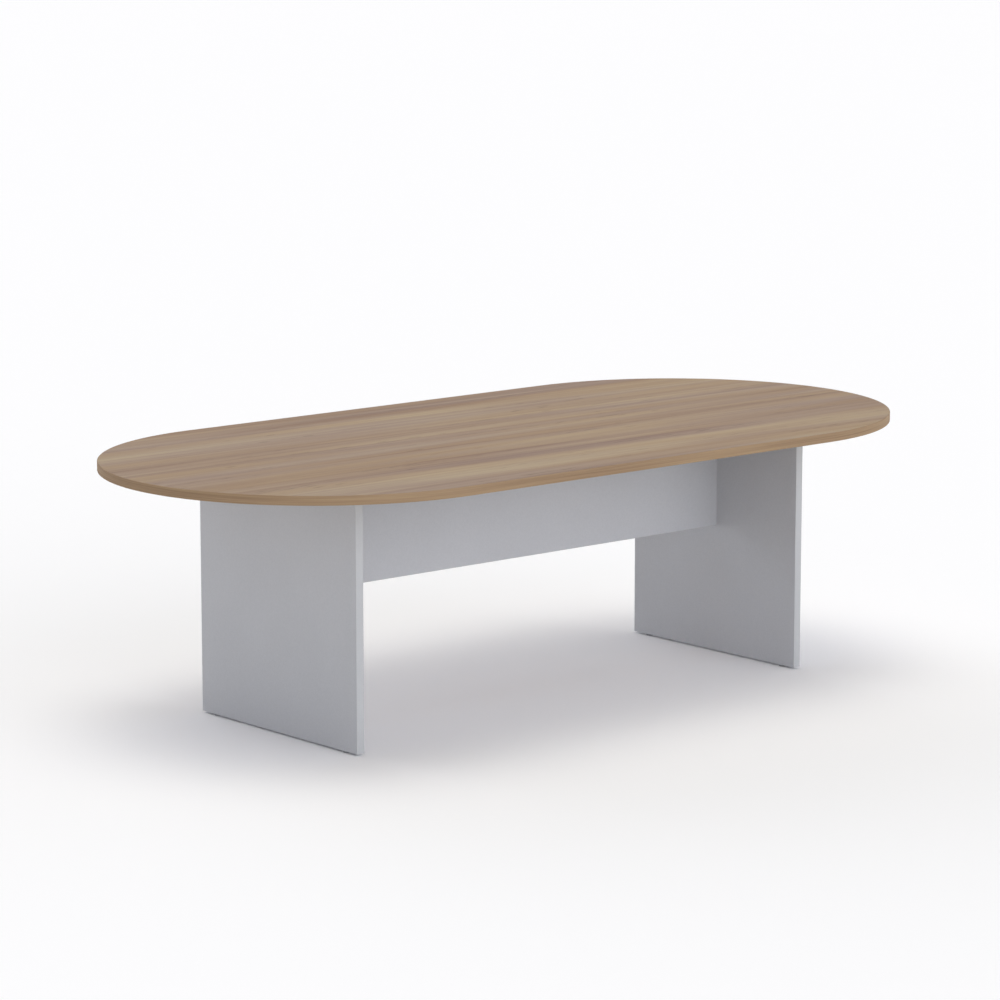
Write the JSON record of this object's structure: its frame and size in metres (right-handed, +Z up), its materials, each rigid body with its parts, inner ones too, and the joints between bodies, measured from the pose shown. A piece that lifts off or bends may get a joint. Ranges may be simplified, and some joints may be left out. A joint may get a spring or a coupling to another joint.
{
  "type": "conference table",
  "caption": "Racetrack meeting table: wood-decor board top on slab legs joined by a modesty panel, with cam fittings and levelling feet.",
  "frame": {"origin": "on the floor under the middle of the top", "axes": "+X along the table's length, +Y towards the face of the modesty panel that holds its cams, +Z up"},
  "size_m": [2.5, 1.2, 0.73],
  "materials": {
    "wood_decor_board": "wood-grain melamine decor, satin",
    "wood_edge_band": "wood-tone ABS edge strip, satin",
    "grey_board": "silver-grey melamine, fine-textured matt",
    "grey_edge_band": "silver-grey ABS edge strip, satin",
    "zinc_cam": "die-cast zinc",
    "steel_bolt": "bright zinc plated",
    "beech_dowel": "plain fluted beech",
    "foot_nylon": "grey moulded nylon",
    "foot_steel": "bright zinc plated"
  },
  "bodies": {
    "table": {"table_top_board": "wood_decor_board", "table_top_edge_band": "wood_edge_band", "left_leg_panel": "grey_board", "left_leg_front_edge_band": "grey_edge_band", "left_leg_rear_edge_band": "grey_edge_band", "left_leg_bottom_edge_band": "grey_edge_band", "right_leg_panel": "grey_board", "right_leg_front_edge_band": "grey_edge_band", "right_leg_rear_edge_band": "grey_edge_band", "right_leg_bottom_edge_band": "grey_edge_band", "modesty_panel": "grey_board", "modesty_panel_edge_band": "grey_edge_band", "left_leg_front_cam_bolt": "steel_bolt", "left_leg_rear_cam_bolt": "steel_bolt", "modesty_left_upper_cam_bolt": "steel_bolt", "modesty_left_lower_cam_bolt": "steel_bolt", "modesty_top_left_cam_bolt": "steel_bolt", "left_leg_front_dowel": "beech_dowel", "left_leg_rear_dowel": "beech_dowel", "modesty_left_upper_dowel": "beech_dowel", "modesty_left_lower_dowel": "beech_dowel", "modesty_top_left_dowel": "beech_dowel", "right_leg_front_cam_bolt": "steel_bolt", "right_leg_rear_cam_bolt": "steel_bolt", "modesty_right_upper_cam_bolt": "steel_bolt", "modesty_right_lower_cam_bolt": "steel_bolt", "modesty_top_right_cam_bolt": "steel_bolt", "right_leg_front_dowel": "beech_dowel", "right_leg_rear_dowel": "beech_dowel", "modesty_right_upper_dowel": "beech_dowel", "modesty_right_lower_dowel": "beech_dowel", "modesty_top_right_dowel": "beech_dowel", "left_front_foot_sleeve": "foot_nylon", "left_rear_foot_sleeve": "foot_nylon", "right_front_foot_sleeve": "foot_nylon", "right_rear_foot_sleeve": "foot_nylon"},
    "left_front_foot_pad": {"left_front_foot_pad": "foot_nylon"},
    "left_front_foot_stud": {"left_front_foot_stud": "foot_steel"},
    "left_rear_foot_pad": {"left_rear_foot_pad": "foot_nylon"},
    "left_rear_foot_stud": {"left_rear_foot_stud": "foot_steel"},
    "right_front_foot_pad": {"right_front_foot_pad": "foot_nylon"},
    "right_front_foot_stud": {"right_front_foot_stud": "foot_steel"},
    "right_rear_foot_pad": {"right_rear_foot_pad": "foot_nylon"},
    "right_rear_foot_stud": {"right_rear_foot_stud": "foot_steel"},
    "left_leg_front_cam": {"left_leg_front_cam": "zinc_cam"},
    "left_leg_rear_cam": {"left_leg_rear_cam": "zinc_cam"},
    "modesty_left_upper_cam": {"modesty_left_upper_cam": "zinc_cam"},
    "modesty_left_lower_cam": {"modesty_left_lower_cam": "zinc_cam"},
    "modesty_top_left_cam": {"modesty_top_left_cam": "zinc_cam"},
    "right_leg_front_cam": {"right_leg_front_cam": "zinc_cam"},
    "right_leg_rear_cam": {"right_leg_rear_cam": "zinc_cam"},
    "modesty_right_upper_cam": {"modesty_right_upper_cam": "zinc_cam"},
    "modesty_right_lower_cam": {"modesty_right_lower_cam": "zinc_cam"},
    "modesty_top_right_cam": {"modesty_top_right_cam": "zinc_cam"}
  },
  "joints": [
    {"name": "left_front_foot_height", "type": "slide", "parent": "table", "child": "left_front_foot_pad", "axis": [0, 0, -1], "range_m": [0, 0.015]},
    {"name": "left_front_foot_turn", "type": "hinge", "parent": "left_front_foot_pad", "child": "left_front_foot_stud", "pos_m": [-0.8, -0.28, 0], "axis": [0, 0, -1], "range_deg": [0, 4321]},
    {"name": "left_rear_foot_height", "type": "slide", "parent": "table", "child": "left_rear_foot_pad", "axis": [0, 0, -1], "range_m": [0, 0.015]},
    {"name": "left_rear_foot_turn", "type": "hinge", "parent": "left_rear_foot_pad", "child": "left_rear_foot_stud", "pos_m": [-0.8, 0.28, 0], "axis": [0, 0, -1], "range_deg": [0, 4321]},
    {"name": "right_front_foot_height", "type": "slide", "parent": "table", "child": "right_front_foot_pad", "axis": [0, 0, -1], "range_m": [0, 0.015]},
    {"name": "right_front_foot_turn", "type": "hinge", "parent": "right_front_foot_pad", "child": "right_front_foot_stud", "pos_m": [0.8, -0.28, 0], "axis": [0, 0, -1], "range_deg": [0, 4321]},
    {"name": "right_rear_foot_height", "type": "slide", "parent": "table", "child": "right_rear_foot_pad", "axis": [0, 0, -1], "range_m": [0, 0.015]},
    {"name": "right_rear_foot_turn", "type": "hinge", "parent": "right_rear_foot_pad", "child": "right_rear_foot_stud", "pos_m": [0.8, 0.28, 0], "axis": [0, 0, -1], "range_deg": [0, 4321]},
    {"name": "left_leg_front_cam_turn", "type": "hinge", "parent": "table", "child": "left_leg_front_cam", "pos_m": [-0.8, -0.224, 0.671], "axis": [1, 0, 0], "range_deg": [0, 160]},
    {"name": "left_leg_rear_cam_turn", "type": "hinge", "parent": "table", "child": "left_leg_rear_cam", "pos_m": [-0.8, 0.224, 0.671], "axis": [1, 0, 0], "range_deg": [0, 160]},
    {"name": "modesty_left_upper_cam_turn", "type": "hinge", "parent": "table", "child": "modesty_left_upper_cam", "pos_m": [-0.7535, 0, 0.641], "axis": [0, 1, 0], "range_deg": [0, 160]},
    {"name": "modesty_left_lower_cam_turn", "type": "hinge", "parent": "table", "child": "modesty_left_lower_cam", "pos_m": [-0.7535, 0, 0.439], "axis": [0, 1, 0], "range_deg": [0, 160]},
    {"name": "modesty_top_left_cam_turn", "type": "hinge", "parent": "table", "child": "modesty_top_left_cam", "pos_m": [-0.384, 0, 0.671], "axis": [0, 1, 0], "range_deg": [0, 160]},
    {"name": "right_leg_front_cam_turn", "type": "hinge", "parent": "table", "child": "right_leg_front_cam", "pos_m": [0.8, -0.224, 0.671], "axis": [-1, 0, 0], "range_deg": [0, 160]},
    {"name": "right_leg_rear_cam_turn", "type": "hinge", "parent": "table", "child": "right_leg_rear_cam", "pos_m": [0.8, 0.224, 0.671], "axis": [-1, 0, 0], "range_deg": [0, 160]},
    {"name": "modesty_right_upper_cam_turn", "type": "hinge", "parent": "table", "child": "modesty_right_upper_cam", "pos_m": [0.7535, 0, 0.641], "axis": [0, 1, 0], "range_deg": [0, 160]},
    {"name": "modesty_right_lower_cam_turn", "type": "hinge", "parent": "table", "child": "modesty_right_lower_cam", "pos_m": [0.7535, 0, 0.439], "axis": [0, 1, 0], "range_deg": [0, 160]},
    {"name": "modesty_top_right_cam_turn", "type": "hinge", "parent": "table", "child": "modesty_top_right_cam", "pos_m": [0.384, 0, 0.671], "axis": [0, 1, 0], "range_deg": [0, 160]}
  ],
  "couplings": [
    {"joint": "left_front_foot_turn", "follows": "left_front_foot_height", "rad_per_m": 5026.5},
    {"joint": "left_rear_foot_turn", "follows": "left_rear_foot_height", "rad_per_m": 5026.5},
    {"joint": "right_front_foot_turn", "follows": "right_front_foot_height", "rad_per_m": 5026.5},
    {"joint": "right_rear_foot_turn", "follows": "right_rear_foot_height", "rad_per_m": 5026.5}
  ]
}
